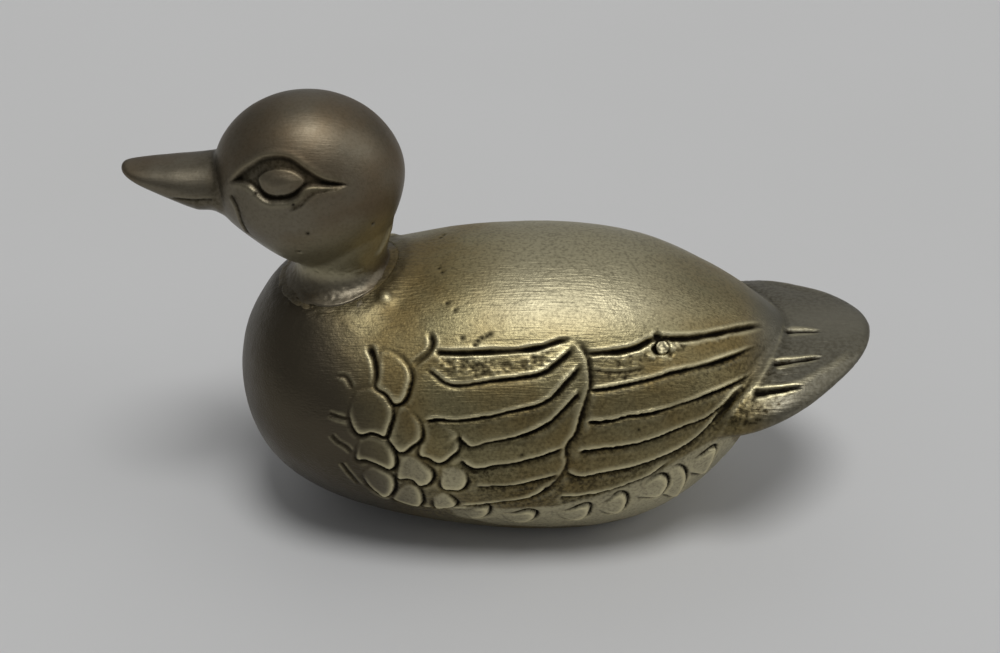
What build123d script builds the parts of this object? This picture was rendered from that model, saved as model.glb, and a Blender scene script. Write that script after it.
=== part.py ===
from build123d import *
import math
import os

# Small brass duck at rest on its flat underside, in millimetres.
# The bill points along -X, +Z is up, and the origin is on the table under the middle of
# the duck's box, from the tip of the bill to the tip of the tail.

# Main sizes along the duck
body_length = 95.0
bill_reach = 16.9
tail_reach = 14.1

# Body: how far it reaches sideways, up and down from its widest line, the waterline,
# how much is shaved off below to make the flat it stands on, and its wall
body_half_width = 27.5
body_rise = 27.0
body_drop = 26.6
underside_cut = 4.6
wall_thickness = 3.2

# Tail fan
tail_length = 31.0
tail_half_width = 21.4
tail_rise = 9.2
tail_drop = 8.0

# Head, measured from its middle
head_climb = 20.7
head_set_back = 13.8
head_half_length = 15.9
head_half_width = 13.2
head_half_height = 14.7

# Neck and its joint with the body
neck_set_back = 18.4
seat_depth = 4.0
foot_half_length = 9.4
foot_half_width = 10.6
foot_clearance = 0.1
spigot_radius = 5.6
spigot_length = 5.0
socket_wall = 3.4
braze_width = 1.6
braze_height = 0.8

# Bill
bill_root_depth = 5.7
bill_half_width = 6.9
bill_half_height = 5.2
bill_base_drop = 1.9
bill_lift = 4.0
mouth_width = 0.55
mouth_depth = 0.5
mouth_base_drop = 1.3
mouth_lift = 2.6

# Eyes
eye_forward = 4.0
eye_rise = 5.4
eye_socket_half_length = 8.6
eye_socket_half_height = 3.6
eye_socket_depth = 0.8
eyeball_half_length = 3.9
eyeball_half_height = 2.3
eyeball_half_depth = 1.6
eyeball_proud = 0.35

# Feather grooves
feather_groove_radius = 0.8
tail_groove_radius = 0.9

# Core pins through the wings
pin_radius = 1.1
pin_proud = 0.4
pin_set_back = 71.4
pin_angle = 45.0
pin_clearance = 0.02

# Underside
felt_thickness = 1.0
felt_margin = 2.6
base_set_back = 48.0
plate_length = 40.0
plate_width = 18.0
plate_thickness = 2.0
plate_ledge = 3.0
solder_width = 0.8
solder_depth = 1.2
solder_clearance = 0.02

# How far cutting shapes run past what they cut
overrun = 5.0

# Shares of the body's own sizes at the neck, at the wing pins and along the flat
shoulder_share = 0.833
pin_width_share = 0.894
pin_rise_share = 0.900
flat_reach_share = 0.490

# Places worked out from the sizes above
overall_length = bill_reach + body_length + tail_reach
bill_tip_x = -overall_length / 2
breast_x = bill_tip_x + bill_reach
tail_tip_x = overall_length / 2
head_x = breast_x + head_set_back
neck_x = breast_x + neck_set_back
base_x = breast_x + base_set_back
bill_root_x = head_x - head_half_length + bill_root_depth
bill_length = bill_root_x - bill_tip_x
flat_height = felt_thickness
waterline_height = flat_height + body_drop - underside_cut
seam_height = waterline_height + body_rise * shoulder_share - seat_depth
head_height = seam_height + head_climb
bill_base_height = head_height - bill_base_drop
mouth_base_height = head_height - mouth_base_drop

# Half sizes of the flat that the cut leaves under the egg of the body
flat_share = math.sqrt(1 - (1 - underside_cut / body_drop) ** 2)
flat_half_width = body_half_width * flat_share
flat_half_length = body_length * flat_reach_share * flat_share

# Sections of the body from breast to rump. Each row gives the place along the body as a
# share of its length, the half width as a share of body_half_width, the reach up as a
# share of body_rise, the reach down as a share of body_drop, and how far the widest line
# climbs there as a share of body_rise.
body_section_shares = (
    (0.009, 0.240, 0.222, 0.230, 0.110),
    (0.032, 0.465, 0.420, 0.420, 0.104),
    (0.078, 0.680, 0.625, 0.620, 0.090),
    (0.152, 0.835, 0.745, 0.780, 0.074),
    (0.257, 0.930, 0.805, 0.900, 0.050),
    (0.383, 0.987, 0.925, 0.965, 0.020),
    (0.509, 1.000, 0.990, 1.000, 0.000),
    (0.636, 0.978, 0.985, 0.985, -0.005),
    (0.741, 0.904, 0.898, 0.905, 0.010),
    (0.836, 0.765, 0.710, 0.720, 0.055),
    (0.909, 0.565, 0.485, 0.510, 0.140),
    (0.966, 0.300, 0.250, 0.280, 0.245),
    (0.991, 0.140, 0.115, 0.135, 0.300),
)
breast_tip_share = 0.111
rump_tip_share = 0.320

# Sections of the tail from its root inside the rump to its tip, in the same form, with
# the last share counted from the waterline in parts of tail_length.
tail_section_shares = (
    (0.000, 0.900, 1.000, 1.000, 0.070),
    (0.225, 1.000, 0.840, 0.750, 0.112),
    (0.387, 0.995, 0.700, 0.500, 0.154),
    (0.548, 0.895, 0.550, 0.325, 0.200),
    (0.710, 0.720, 0.400, 0.225, 0.247),
    (0.839, 0.528, 0.280, 0.175, 0.285),
    (0.935, 0.326, 0.175, 0.125, 0.312),
    (0.978, 0.168, 0.095, 0.075, 0.325),
)
tail_tip_share = 0.332

# Sections of the bill from its root inside the face to its tip: place, half width, half
# height up and down, and climb as a share of bill_lift.
bill_section_shares = (
    (0.000, 1.000, 1.380, 1.060, 0.000),
    (0.200, 0.945, 1.180, 0.910, 0.100),
    (0.470, 0.840, 0.830, 0.700, 0.340),
    (0.730, 0.670, 0.500, 0.450, 0.640),
    (0.910, 0.455, 0.265, 0.250, 0.860),
    (0.978, 0.240, 0.150, 0.150, 0.970),
)

# Sections of the neck from its foot into the head: climb as a share of the way from the
# seam to the middle of the head, shift back as a share of foot_half_length, half length
# and half width as shares of the foot's.
neck_section_shares = (
    (0.000, 0.000, 1.000, 1.000),
    (0.060, 0.000, 0.985, 0.970),
    (0.140, 0.010, 0.900, 0.860),
    (0.260, 0.010, 0.810, 0.740),
    (0.450, 0.020, 0.900, 0.800),
    (0.700, -0.090, 1.070, 0.960),
    (0.900, -0.250, 1.160, 1.040),
)

# Lower edges of the long feathers of a folded wing seen from the side, from front to back:
# along as a share of body_length, up or down from the waterline as a share of body_rise.
feather_edge_shares = (
    ((0.625, 0.650), (0.790, 0.635), (0.940, 0.520)),
    ((0.635, 0.480), (0.790, 0.505), (0.935, 0.430)),
    ((0.635, 0.290), (0.790, 0.330), (0.920, 0.350)),
    ((0.625, 0.110), (0.780, 0.180), (0.900, 0.280)),
    ((0.610, -0.020), (0.760, 0.010), (0.880, 0.190)),
    ((0.580, -0.250), (0.690, -0.190), (0.780, -0.050)),
)

# Lower edges of the covert feathers in front of them
covert_edge_shares = (
    ((0.360, 0.650), (0.480, 0.670), (0.600, 0.720)),
    ((0.350, 0.540), (0.490, 0.540), (0.600, 0.680)),
    ((0.340, 0.310), (0.490, 0.360), (0.610, 0.590)),
    ((0.400, 0.180), (0.510, 0.220), (0.610, 0.470)),
    ((0.410, 0.020), (0.510, 0.040), (0.590, 0.160)),
    ((0.430, -0.160), (0.500, -0.140), (0.560, -0.070)),
    ((0.410, -0.330), (0.490, -0.290), (0.560, -0.140)),
)

# Other grooves: behind the coverts, over the shoulder, and round the small feathers that
# hang along the wing's lower edge
short_groove_shares = (
    ((0.600, 0.720), (0.620, 0.300), (0.550, -0.240)),
    ((0.250, 0.650), (0.265, 0.550), (0.260, 0.450)),
    ((0.350, 0.730), (0.360, 0.660), (0.320, 0.570)),
    ((0.850, -0.060), (0.865, -0.180), (0.840, -0.310)),
    ((0.800, -0.120), (0.820, -0.240), (0.810, -0.380)),
    ((0.770, -0.180), (0.775, -0.270), (0.750, -0.350)),
    ((0.710, -0.260), (0.720, -0.400), (0.690, -0.500)),
    ((0.630, -0.370), (0.600, -0.490), (0.540, -0.490)),
    ((0.530, -0.420), (0.500, -0.490), (0.470, -0.410)),
    ((0.450, -0.410), (0.430, -0.490), (0.400, -0.410)),
)

# Round scales of the shoulder: middle, half length and half height, in the same shares
shoulder_scale_shares = (
    (0.254, 0.318, 0.036, 0.137),
    (0.313, 0.237, 0.028, 0.144),
    (0.371, 0.169, 0.034, 0.130),
    (0.260, 0.071, 0.035, 0.119),
    (0.328, -0.050, 0.031, 0.119),
    (0.395, -0.090, 0.022, 0.096),
    (0.262, -0.185, 0.028, 0.137),
    (0.312, -0.281, 0.025, 0.111),
    (0.378, -0.299, 0.021, 0.085),
)

# Grooves on one half of the tail, from root to tip: along as a share of tail_length,
# across as a share of tail_half_width, up from the waterline as a share of tail_length
tail_groove_shares = (
    ((0.450, 0.140, 0.360), (0.760, 0.170, 0.350)),
    ((0.370, 0.540, 0.330), (0.730, 0.450, 0.340)),
    ((0.250, 0.810, 0.265), (0.600, 0.760, 0.280)),
)


def oval_section(x, half_width, rise, drop, height):
    """Upright section across the duck at x: half ellipses above and below the height."""
    across = Plane(origin=(x, 0, height), x_dir=(0, 1, 0), z_dir=(1, 0, 0))
    top = EllipticalCenterArc((0, 0), half_width, rise, start_angle=0, arc_size=180)
    bottom = EllipticalCenterArc((0, 0), half_width, drop, start_angle=180, arc_size=180)
    return across * make_face([top, bottom])


def flat_oval(x, height, half_length, half_width):
    """Level ellipse with its middle at x and the height."""
    return Plane(origin=(x, 0, height)) * Ellipse(half_length, half_width)


def body_form(grow):
    """Egg of the body, larger all round by grow, or smaller where grow is negative."""
    start = breast_x - grow
    length = body_length + 2 * grow
    width = body_half_width + grow
    rise = body_rise + grow
    drop = body_drop + grow
    sections = [Vertex(start, 0, waterline_height + body_rise * breast_tip_share)]
    for along, wide, up, down, climb in body_section_shares:
        height = waterline_height + body_rise * climb
        sections.append(
            oval_section(start + length * along, width * wide, rise * up, drop * down, height)
        )
    tip_height = waterline_height + body_rise * rump_tip_share
    sections.append(Vertex(start + length, 0, tip_height))
    return loft(sections)


def tail_form():
    """Broad fan of the tail, arched above and thin towards its rounded tip."""
    root_x = tail_tip_x - tail_length
    sections = []
    for along, wide, up, down, climb in tail_section_shares:
        sections.append(
            oval_section(
                root_x + tail_length * along,
                tail_half_width * wide,
                tail_rise * up,
                tail_drop * down,
                waterline_height + tail_length * climb,
            )
        )
    sections.append(Vertex(tail_tip_x, 0, waterline_height + tail_length * tail_tip_share))
    return loft(sections)


def bill_form(shrink):
    """Bill that narrows and climbs to its rounded tip, smaller all round by shrink."""
    length = bill_length - shrink
    sections = []
    for along, wide, up, down, climb in bill_section_shares:
        sections.append(
            oval_section(
                bill_tip_x + shrink + length * (1 - along),
                (bill_half_width - shrink) * wide,
                (bill_half_height - shrink) * up,
                (bill_half_height - shrink) * down,
                bill_base_height + bill_lift * climb,
            )
        )
    sections.append(Vertex(bill_tip_x + shrink, 0, bill_base_height + bill_lift))
    return loft(sections)


def mouth_slab():
    """Thin slab along the mouth line, wider than the bill."""
    root = (bill_root_x, mouth_base_height)
    tip = (bill_tip_x, mouth_base_height + mouth_lift)
    half = mouth_width / 2
    outline = Polyline(
        (root[0], root[1] - half),
        (root[0], root[1] + half),
        (tip[0], tip[1] + half),
        (tip[0], tip[1] - half),
        close=True,
    )
    return extrude(Plane.XZ * make_face(outline), bill_half_width + overrun, both=True)


def scaled_ball(plane, half_length, half_height, half_depth):
    """Ellipsoid on a plane, with its length along the plane's x and its depth along z."""
    return plane * scale(Sphere(1), by=(half_length, half_height, half_depth))


def skull_form(grow):
    """Round of the head, larger all round by grow, or smaller where grow is negative."""
    middle = Plane(origin=(head_x, 0, head_height))
    return scaled_ball(
        middle, head_half_length + grow, head_half_width + grow, head_half_height + grow
    )


def eye_plane(side):
    """Plane on the head's surface at one eye, facing out, with its x along the head."""
    along = -eye_forward / head_half_length
    up = eye_rise / head_half_height
    across = side * math.sqrt(1 - along**2 - up**2)
    place = (
        head_x + head_half_length * along,
        head_half_width * across,
        head_height + head_half_height * up,
    )
    outward = Vector(along / head_half_length, across / head_half_width, up / head_half_height)
    level = Vector(0, 0, 1).cross(outward)
    return Plane(origin=place, x_dir=level, z_dir=outward)


def eye_socket(plane):
    """Almond cut to an even depth below the round of the head."""
    corner = eye_socket_half_length
    lid = eye_socket_half_height
    upper = ThreePointArc((-corner, 0), (0, lid), (corner, 0))
    lower = ThreePointArc((corner, 0), (0, -lid), (-corner, 0))
    almond = plane * make_face([upper, lower])
    block = extrude(almond, eye_socket_half_length, both=True)
    return block - skull_form(-eye_socket_depth)


def eyeball(plane):
    """Raised ball in the middle of the socket."""
    middle = plane.offset(eyeball_proud - eyeball_half_depth)
    return scaled_ball(middle, eyeball_half_length, eyeball_half_height, eyeball_half_depth)


def head_casting():
    """Head, bill, eyes and neck in one casting, with the spigot under the neck."""
    climb = head_height - seam_height
    neck = loft(
        [
            flat_oval(
                neck_x + foot_half_length * back,
                seam_height + climb * up,
                foot_half_length * long,
                foot_half_width * wide,
            )
            for up, back, long, wide in neck_section_shares
        ]
    )
    bill = bill_form(0) - (mouth_slab() - bill_form(mouth_depth))
    spigot_bottom = Pos(neck_x, 0, seam_height - spigot_length)
    spigot = spigot_bottom * Cylinder(
        spigot_radius, spigot_length + overrun, align=(Align.CENTER, Align.CENTER, Align.MIN)
    )
    head = skull_form(0) + neck
    for side in (-1, 1):
        plane = eye_plane(side)
        head = head - eye_socket(plane) + eyeball(plane)
    return head + bill + spigot


def wing_point(share):
    """Place on the side view of the body from a pair of wing shares."""
    along, up = share
    return (breast_x + body_length * along, waterline_height + body_rise * up)


def scale_edges():
    """Lower edges of the shoulder scales, each as three points."""
    return tuple(
        ((along - half_long, up), (along, up - half_high), (along + half_long, up))
        for along, up, half_long, half_high in shoulder_scale_shares
    )


def feather_grooves():
    """Round grooves that lie on the body along all feather edges of one wing."""
    body = body_form(0)
    grooves = []
    for edge in feather_edge_shares + covert_edge_shares + short_groove_shares + scale_edges():
        places = []
        for share in edge:
            x, z = wing_point(share)
            hits = body.find_intersection_points(Axis((x, 0, z), (0, 1, 0)))
            places.append(max((point for point, _ in hits), key=lambda point: point.Y))
        path = ThreePointArc(*places)
        end = Plane(origin=path @ 0, z_dir=path % 0)
        grooves.append(sweep(end * Circle(feather_groove_radius), path=path))
    return grooves


def carved_body():
    """Egg of the body with the feathers of both folded wings cut into it."""
    room = 2 * (body_length + overrun)
    half_space = Box(room, room, room, align=(Align.CENTER, Align.MIN, Align.CENTER))
    half = body_form(0) & half_space
    for groove in feather_grooves():
        half = half - groove
    return half + mirror(half, about=Plane.XZ)


def tail_grooves():
    """Tapering grooves on the top of the tail, alike on both sides."""
    grooves = Part()
    for side in (-1, 1):
        for line in tail_groove_shares:
            root, tip = (
                Vector(
                    tail_tip_x - tail_length * (1 - along),
                    side * tail_half_width * across,
                    waterline_height + tail_length * up,
                )
                for along, across, up in line
            )
            reach = tip - root
            cone = Cone(
                tail_groove_radius,
                0,
                reach.length,
                align=(Align.CENTER, Align.CENTER, Align.MIN),
            )
            grooves = grooves + Plane(origin=root, z_dir=reach.normalized()) * cone
    return grooves


def core_pin(side, radius, start, end):
    """Round pin through the wing wall, square to the body there."""
    angle = math.radians(pin_angle)
    out = body_half_width * pin_width_share * math.cos(angle)
    up = body_rise * pin_rise_share * math.sin(angle)
    place = Vector(breast_x + pin_set_back, side * out, waterline_height + up)
    inward = Vector(0, -side * out, -up).normalized()
    plane = Plane(origin=place - inward * start, z_dir=inward)
    return extrude(plane * Circle(radius), start + end)


def slot_block(length, width, bottom, top):
    """Upright block with round ends on the middle of the underside."""
    slot = Plane(origin=(base_x, 0, bottom)) * SlotOverall(length, width)
    return extrude(slot, top - bottom)


def neck_block(grow):
    """Upright oval block over the seam, larger than the neck's foot all round by grow."""
    oval = flat_oval(neck_x, seam_height, foot_half_length + grow, foot_half_width + grow)
    return extrude(oval, body_rise)


def body_casting():
    """Hollow casting of breast, back, wings and tail, open below and at the neck."""
    outer = carved_body() + (tail_form() - tail_grooves())
    floor = flat_height + wall_thickness
    room = body_half_width + overrun
    above_floor = Pos(0, 0, floor) * Box(
        overall_length, 2 * room, 4 * room, align=(Align.CENTER, Align.CENTER, Align.MIN)
    )
    cavity = body_form(-wall_thickness) & above_floor
    socket_radius = spigot_radius + foot_clearance
    boss_bottom = seam_height - spigot_length - foot_clearance
    boss = Pos(neck_x, 0, boss_bottom) * Cylinder(
        foot_half_width + socket_wall,
        body_rise,
        align=(Align.CENTER, Align.CENTER, Align.MIN),
    )
    body = outer - (cavity - boss)
    seat = neck_block(foot_clearance)
    socket = Pos(neck_x, 0, boss_bottom - overrun) * Cylinder(
        socket_radius, spigot_length + 2 * overrun, align=(Align.CENTER, Align.CENTER, Align.MIN)
    )
    rebate = slot_block(
        plate_length + 2 * solder_width,
        plate_width + 2 * solder_width,
        flat_height - overrun,
        flat_height + plate_thickness,
    )
    opening = slot_block(
        plate_length - 2 * plate_ledge,
        plate_width - 2 * plate_ledge,
        flat_height,
        floor + overrun,
    )
    below = Pos(0, 0, flat_height) * Box(
        overall_length, 2 * room, 2 * room, align=(Align.CENTER, Align.CENTER, Align.MAX)
    )
    body = body - seat - socket - rebate - opening - below
    for side in (-1, 1):
        body = body - core_pin(side, pin_radius + pin_clearance, overrun, 2 * overrun)
    return body


def neck_braze(head):
    """Filler between the foot of the neck and the body, standing a little proud."""
    ring = neck_block(braze_width)
    collar = body_form(braze_height) & ring
    return collar - (body_form(0) & (ring - neck_block(foot_clearance))) - head


def core_plugs():
    """One pin in each wing, a little proud of the wall."""
    return [core_pin(side, pin_radius, pin_proud, wall_thickness) for side in (-1, 1)]


def base_plate():
    """Plate that closes the core opening, flush with the flat underside."""
    return slot_block(plate_length, plate_width, flat_height, flat_height + plate_thickness)


def base_solder():
    """Bead of solder in the gap round the base plate."""
    gap = solder_width - solder_clearance
    top = flat_height + solder_depth
    outer = slot_block(plate_length + 2 * gap, plate_width + 2 * gap, flat_height, top)
    inside = 2 * solder_clearance
    return outer - slot_block(plate_length + inside, plate_width + inside, flat_height, top)


def felt_pad():
    """Oval felt pad under the whole flat."""
    oval = flat_oval(base_x, 0, flat_half_length - felt_margin, flat_half_width - felt_margin)
    return extrude(oval, felt_thickness)


def write(name, shape):
    """Save one named piece."""
    export_step(shape, os.path.join("parts", name + ".step"))


os.makedirs("parts", exist_ok=True)
head = head_casting()
write("body_casting", body_casting())
write("head_casting", head)
write("neck_braze", neck_braze(head))
write("core_plugs", Compound(children=core_plugs()))
write("base_plate", base_plate())
write("base_solder", base_solder())
write("felt_pad", felt_pad())
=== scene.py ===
import math

import bpy
import numpy as np
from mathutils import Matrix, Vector
from mathutils.bvhtree import BVHTree


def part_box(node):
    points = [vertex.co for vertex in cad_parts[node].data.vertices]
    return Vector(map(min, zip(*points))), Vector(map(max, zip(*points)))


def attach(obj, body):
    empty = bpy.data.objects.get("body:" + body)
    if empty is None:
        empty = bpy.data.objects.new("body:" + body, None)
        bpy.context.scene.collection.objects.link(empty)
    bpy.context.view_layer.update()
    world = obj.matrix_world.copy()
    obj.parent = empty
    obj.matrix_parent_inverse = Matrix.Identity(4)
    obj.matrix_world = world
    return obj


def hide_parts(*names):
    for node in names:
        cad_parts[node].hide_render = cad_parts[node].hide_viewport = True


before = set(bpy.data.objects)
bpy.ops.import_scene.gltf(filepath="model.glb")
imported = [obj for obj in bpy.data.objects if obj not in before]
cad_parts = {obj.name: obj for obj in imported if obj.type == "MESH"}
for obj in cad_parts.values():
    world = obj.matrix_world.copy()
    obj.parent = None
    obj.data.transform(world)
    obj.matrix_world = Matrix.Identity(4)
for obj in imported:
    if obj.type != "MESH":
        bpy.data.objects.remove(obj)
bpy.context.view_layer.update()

# Lengths are in millimetres, and MM turns them into metres where an object is made.
MM = 0.001

# The photograph's frame, and the camera fitted to the duck's outline in it
PHOTO_WIDTH, PHOTO_HEIGHT = 1000, 653
CAMERA_TARGET = np.array((-1.1, 0.0, 33.0))
CAMERA_DISTANCE = 300.0
CAMERA_ELEVATION = math.radians(33)
PIXELS_PER_MM = 5.77
SENSOR_WIDTH = 36.0
NEAR_CLIP = 10.0

# How much larger than PIXELS_PER_MM the nearest parts show, and the least share of a
# point's normal that turns to the camera where a stroke still reaches it
NEAREST_GROWTH = 1.4
LEAST_FACING = 0.01

CAMERA_BACK = np.array((0.0, -math.cos(CAMERA_ELEVATION), math.sin(CAMERA_ELEVATION)))
CAMERA_RIGHT = np.array((1.0, 0.0, 0.0))
CAMERA_UP = np.array((0.0, math.sin(CAMERA_ELEVATION), math.cos(CAMERA_ELEVATION)))
CAMERA_PLACE = CAMERA_TARGET + CAMERA_DISTANCE * CAMERA_BACK
FOCAL_PIXELS = PIXELS_PER_MM * CAMERA_DISTANCE

# How fine the skins are: the side of their square faces
BODY_GRID = 0.27
HEAD_GRID = 0.21
BRAZE_GRID = 0.16
PIN_GRID = 0.11


def corners_of(node):
    """Lowest and highest corners of a CAD node in millimetres."""
    return (np.array(corner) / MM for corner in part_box(node))


# Places along the duck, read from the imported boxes
body_low, body_high = corners_of("body_casting")
head_low, head_high = corners_of("head_casting")
felt_low, felt_high = corners_of("felt_pad")
plate_low, plate_high = corners_of("base_plate")
solder_low, solder_high = corners_of("base_solder")
BREAST_X = body_low[0]
TAIL_TIP_X = body_high[0]
FLAT_Z = body_low[2]
BILL_TIP_X = head_low[0]
CROWN_Z = head_high[2]

# Sizes of the main forms
BODY_LENGTH = 95.0
BODY_HALF_WIDTH = 27.5
BODY_RISE = 27.1
BODY_DROP = 26.6
WATERLINE_Z = 23.0
WALL = 3.2
TAIL_LENGTH = 31.0
TAIL_HALF_WIDTH = 21.4
TAIL_RISE = 9.2
TAIL_DROP = 8.0
SKULL_HALF = np.array((15.9, 13.2, 14.7))
SKULL_MIDDLE = np.array((BREAST_X + 13.8, 0.0, CROWN_Z - SKULL_HALF[2]))
SEAM_Z = 41.5
NECK_X = BREAST_X + 18.4
NECK_FOOT = np.array((9.4, 10.6))
SPIGOT_RADIUS = 5.6
SPIGOT_LENGTH = 5.0
FOOT_CLEARANCE = 0.1
PIN_CLEARANCE = 0.05
PIN_RADIUS = 1.1
PIN_HOLE_MARGIN = 0.5
PIN_HOLE_DEPTH = 0.9
SOCKET_OUTER = 14.0
BRAZE_WIDTH = 1.6
BRAZE_HEIGHT = 0.8
NECK_FLARE = 1.4
NECK_OVERLAP = 1.0
FLARE_FOOT = 0.9
FLARE_HEIGHT = 3.5
COLLAR = 0.8
COLLAR_REACH = 2.8
COLLAR_ROUGH_REACH = 4.0
PLATE_LEDGE = 3.0
BASE_X = (plate_low[0] + plate_high[0]) / 2
BILL_LENGTH = 20.5
BILL_HALF_WIDTH = 6.9
BILL_HALF_HEIGHT = 5.2
BILL_BASE_Z = SKULL_MIDDLE[2] - 1.9
BILL_LIFT = 4.0

# Uneven surface of the castings: layers of lumps, each with its height, size and seed
CAST_LUMPS = ((0.05, 5.0, 3), (0.025, 1.8, 4))
STROKE_LUMPS = ((0.12, 2.2, 1), (0.05, 0.9, 2))
STROKE_DEPTH_LUMPS = (0.5, 4.5, 51)
COLLAR_LUMPS = (0.045, 0.8, 43)
NECK_LUMPS = (0.05, 0.6, 41)
PIN_HOLE_LUMPS = (0.8, 1.0, 31)
PIN_RIM_LUMPS = (0.22, 0.7, 33)
GRAIN_TABLE = 4096
GRAIN_PRIMES = np.array((73856093, 19349663, 83492791))

# Strokes: pixels between the places on a path, and how far strokes reach, in widths
PATH_SPACING = 1.5
FEWEST_PLACES = 6
EDGE_REACH = 4.5
GROOVE_REACH = 5.0
RIDGE_REACH = 3.0

# Feather edge, in widths: the share and reach of its sharp part and the reach of its slow
# part, above and below the step, and how far its patina and painted shade reach below it
CREST = (0.65, 0.32, 1.5)
TROUGH = (0.6, 0.42, 1.5)
EDGE_PATINA_AND_SHADE = 1.3

# Groove: where its burrs lie, in widths, and how dark its patina and painted shade are
BURR_PLACE = 1.9
GROOVE_PATINA_AND_SHADE = 0.7

# Outlines: how far in a scale's lip lies and how far out its groove, their width, and how
# far from each outline the skin is changed
LIP_INSET = 0.3
GROOVE_OFFSET = 0.2
LIP_WIDTH = 0.25
SCALE_REACH = 4.0
EYE_REACH = 5.0
COARSE_REACH = 8.0

# Eye: how deep its almond is and how high its rim, and how high the eyeball's edge and the
# rest of its dome stand in it
EYE_DEPTH = 0.75
EYE_RIM = 0.06
EYEBALL_STEP = 0.45
EYEBALL_DOME = 0.35

# Where forms pass into each other, from where each starts to where it is full: the end of
# the bill that isn't smoothed, the skull behind the face and above the seam, the smooth neck
# above the braze, and the collar above the widest line
BILL_TIP_KEPT = (-14, -8)
SKULL_FROM_FACE = (-2.5, 0.5)
SKULL_FROM_SEAM = (2, 7)
NECK_SMOOTH_FROM = (3, 7)
COLLAR_CLIMB = (4, 12)

# How often the head is smoothed, and how softly it is trimmed to its outline
HEAD_ROUNDS = 30
TRIM_SOFTNESS = 0.8

# Depth that counts as a full recess, which is painted dark with patina and painted shade,
# height that counts as fully worn, which is painted bright with wear and a painted highlight,
# and how far the level that both are measured from is averaged
RECESS_DEPTH = 0.25
WEAR_AND_HIGHLIGHT_HEIGHT = 0.22
LEVEL_REACH = 1.2

# Sections from breast to rump: place along the body, half width, reach up, reach down and
# climb of the widest line, as shares of the body's own sizes. The first and last are points.
BODY_SHARES = (
    (0.000, 0.000, 0.000, 0.000, 0.111),
    (0.009, 0.240, 0.222, 0.230, 0.110),
    (0.032, 0.465, 0.420, 0.420, 0.104),
    (0.078, 0.680, 0.625, 0.620, 0.090),
    (0.152, 0.835, 0.745, 0.780, 0.074),
    (0.257, 0.930, 0.805, 0.900, 0.050),
    (0.383, 0.987, 0.925, 0.965, 0.020),
    (0.509, 1.000, 0.990, 1.000, 0.000),
    (0.636, 0.978, 0.985, 0.985, -0.005),
    (0.741, 0.904, 0.898, 0.905, 0.010),
    (0.836, 0.765, 0.710, 0.720, 0.055),
    (0.909, 0.565, 0.485, 0.510, 0.140),
    (0.966, 0.300, 0.250, 0.280, 0.245),
    (0.991, 0.140, 0.115, 0.135, 0.300),
    (1.000, 0.000, 0.000, 0.000, 0.320),
)

# Sections of the tail in the same form, with the climb as a share of its length
TAIL_SHARES = (
    (-0.001, 0.000, 0.000, 0.000, 0.070),
    (0.000, 0.900, 1.000, 1.000, 0.070),
    (0.225, 1.000, 0.840, 0.750, 0.112),
    (0.387, 0.995, 0.700, 0.500, 0.154),
    (0.548, 0.895, 0.550, 0.325, 0.200),
    (0.710, 0.720, 0.400, 0.225, 0.247),
    (0.839, 0.528, 0.280, 0.175, 0.285),
    (0.935, 0.326, 0.175, 0.125, 0.312),
    (0.978, 0.168, 0.095, 0.075, 0.325),
    (1.000, 0.000, 0.000, 0.000, 0.332),
)

# Sections of the bill from its root to its tip, with the climb as a share of BILL_LIFT
BILL_SHARES = (
    (-0.001, 0.000, 0.000, 0.000, 0.000),
    (0.000, 1.000, 1.380, 1.060, 0.000),
    (0.200, 0.945, 1.180, 0.910, 0.100),
    (0.470, 0.840, 0.830, 0.700, 0.340),
    (0.730, 0.670, 0.500, 0.450, 0.640),
    (0.910, 0.455, 0.265, 0.250, 0.860),
    (0.978, 0.240, 0.150, 0.150, 0.970),
    (1.000, 0.000, 0.000, 0.000, 1.000),
)

# Sections of the neck from its foot into the head: climb as a share of the way to the
# middle of the skull, shift back, half length and half width as shares of the foot's sizes
NECK_SHARES = (
    (0.000, 0.000, 1.000, 1.000),
    (0.060, 0.000, 0.985, 0.970),
    (0.140, 0.010, 0.900, 0.860),
    (0.260, 0.010, 0.810, 0.740),
    (0.450, 0.020, 0.900, 0.800),
    (0.700, -0.090, 1.070, 0.960),
    (0.900, -0.250, 1.160, 1.040),
)


def smoothstep(value, low, high):
    """0 below low, 1 above high, and a smooth climb between them."""
    share = np.clip((value - low) / (high - low), 0, 1)
    return share * share * (3 - 2 * share)


def hump(off, width=1.0):
    """1 at zero, and less on both sides, softly, over the width."""
    return np.exp(-((off / width) ** 2))


def turn(count):
    """Evenly spread angles round a circle."""
    return np.linspace(0, 2 * math.pi, count, endpoint=False)


def spline(knots, values, at):
    """Natural cubic spline through the rows of values at the knots, read at the given places."""
    gap = np.diff(knots)
    count = len(knots)
    system = np.eye(count)
    slope = np.diff(values, axis=0) / gap[:, None]
    bend = np.zeros_like(values)
    for i in range(1, count - 1):
        system[i, i - 1 : i + 2] = gap[i - 1], 2 * (gap[i - 1] + gap[i]), gap[i]
        bend[i] = 6 * (slope[i] - slope[i - 1])
    bend = np.linalg.solve(system, bend)
    i = np.clip(np.searchsorted(knots, at) - 1, 0, count - 2)
    after = (at - knots[i])[:, None]
    before = (knots[i + 1] - at)[:, None]
    span = gap[i][:, None]
    curved = (bend[i] * before**3 + bend[i + 1] * after**3) / (6 * span)
    start = (values[i] / span - bend[i] * span / 6) * before
    end = (values[i + 1] / span - bend[i + 1] * span / 6) * after
    return curved + start + end


def lengths_along(points):
    """How far along the line through the points each of them lies."""
    return np.concatenate(((0,), np.cumsum(np.linalg.norm(np.diff(points, axis=0), axis=1))))


def path_of(points):
    """Close places along a smooth curve through points of the photograph."""
    points = np.asarray(points, float)
    if len(points) < 3:
        points = np.array((points[0], points.mean(axis=0), points[-1]))
    length = lengths_along(points)
    count = max(int(length[-1] / PATH_SPACING), FEWEST_PLACES)
    return spline(length, points, np.linspace(0, length[-1], count))


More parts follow.
